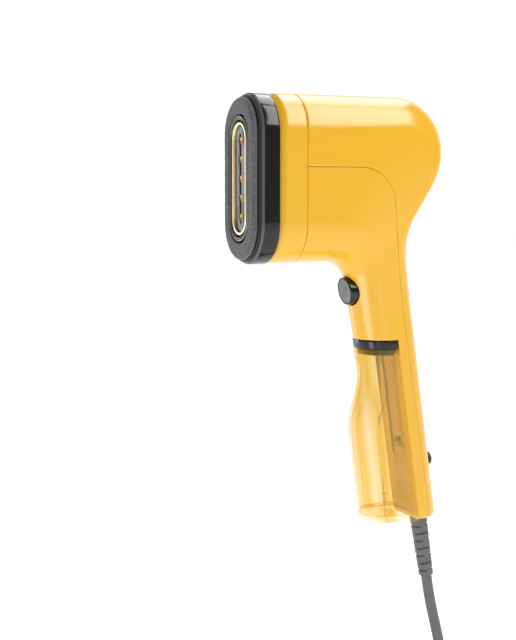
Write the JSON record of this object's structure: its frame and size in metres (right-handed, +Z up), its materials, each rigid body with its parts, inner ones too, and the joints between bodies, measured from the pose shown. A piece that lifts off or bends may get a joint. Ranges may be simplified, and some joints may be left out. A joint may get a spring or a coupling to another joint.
{
  "type": "handheld garment steamer",
  "caption": "Handheld garment steamer with an upright steam face, a removable water tank in its grip and a mains lead.",
  "frame": {"origin": "inside the grip, below the steam button and above the tank, where a hand closes round it", "axes": "-X is the way the steam face looks, +Z runs up the body, Y is across it"},
  "size_m": [0.1565, 0.1185, 0.4387],
  "materials": {
    "yellow_shell": "glossy moulded yellow plastic",
    "gloss_black": "glossy black moulded plastic",
    "satin_black": "satin black moulded plastic",
    "textile": "heathered dark grey short-pile textile",
    "plate_grey": "satin grey coated metal",
    "gold_trim": "pale gold polished trim",
    "brass": "turned brass",
    "black_rubber": "dark grey flexible rubber or PVC",
    "cast_aluminium": "cast aluminium",
    "steel": "plain steel",
    "white_plastic": "heat-resistant off-white plastic",
    "wire_sheath": "wire insulation",
    "copper_coil": "taped copper winding",
    "silicone": "translucent silicone hose",
    "board_green": "circuit board with parts",
    "button_grey": "grey button with gloss black side",
    "amber_tank": "translucent amber plastic"
  },
  "bodies": {
    "root": {"front_collar": "yellow_shell", "front_shell": "yellow_shell", "rear_shell": "yellow_shell", "bezel": "gloss_black", "cord_tie": "satin_black", "dock_socket": "satin_black", "microswitch": "satin_black", "plate_frame": "plate_grey", "soleplate": "plate_grey", "plate_ring": "gold_trim", "steam_nozzle_1": "brass", "steam_nozzle_2": "brass", "steam_nozzle_3": "brass", "steam_nozzle_4": "brass", "steam_nozzle_5": "brass", "thermal_fuse": "brass", "plug_blade_1": "brass", "plug_blade_2": "brass", "plate_seal": "black_rubber", "inner_lead": "black_rubber", "strain_relief": "black_rubber", "power_cord": "black_rubber", "cord_coil": "black_rubber", "cord_tail": "black_rubber", "plug_body": "black_rubber", "steam_chamber": "cast_aluminium", "heating_element": "steel", "heat_shield": "steel", "chamber_standoff_1": "steel", "chamber_standoff_2": "steel", "chamber_standoff_3": "steel", "chamber_standoff_4": "steel", "pump_frame": "steel", "button_spring": "steel", "latch_pin": "steel", "latch_spring": "steel", "thermostat": "white_plastic", "pump_body": "white_plastic", "terminal_block": "white_plastic", "switch_plate": "white_plastic", "wire_1": "wire_sheath", "wire_2": "wire_sheath", "wire_3": "wire_sheath", "pump_coil": "copper_coil", "inlet_hose": "silicone", "outlet_hose": "silicone", "control_board": "board_green"},
    "tank": {"water_tank": "amber_tank", "tank_collar": "gloss_black", "tank_base": "amber_tank", "suction_tube": "silicone", "tank_filter": "steel", "tank_seal": "black_rubber"},
    "pad": {"pad_carrier": "satin_black", "fabric_pad": "textile"},
    "button": {"steam_button": "button_grey"},
    "release": {"release_button": "gloss_black"},
    "latch": {"release_latch": "white_plastic"},
    "piston": {"pump_piston": "steel"}
  },
  "joints": [
    {"name": "button_press", "type": "slide", "parent": "root", "child": "button", "axis": [1, 0, 0], "range_m": [0, 0.0025], "stiffness_N_per_m": 600, "springref_m": -0.002, "deforming": ["button_spring"]},
    {"name": "release_press", "type": "slide", "parent": "root", "child": "release", "axis": [-0.9895, 0, -0.1444], "range_m": [0, 0.0018], "stiffness_N_per_m": 500, "springref_m": -0.001, "deforming": ["latch_spring"]},
    {"name": "latch_rock", "type": "hinge", "parent": "root", "child": "latch", "pos_m": [0.02045, 0, -0.0821], "axis": [0, 1, 0], "range_deg": [0, 12.4]},
    {"name": "tank_slide", "type": "slide", "parent": "root", "child": "tank", "axis": [0.1444, 0, -0.9895], "range_m": [0, 0.12]},
    {"name": "pad_slide", "type": "slide", "parent": "root", "child": "pad", "axis": [-1, 0, 0], "range_m": [0, 0.025]},
    {"name": "pump_stroke", "type": "slide", "parent": "root", "child": "piston", "axis": [1, 0, 0], "range_m": [-0.0015, 0.0015], "stiffness_N_per_m": 800}
  ],
  "couplings": [
    {"joint": "latch_rock", "follows": "release_press", "rad_per_m": 117.65}
  ]
}
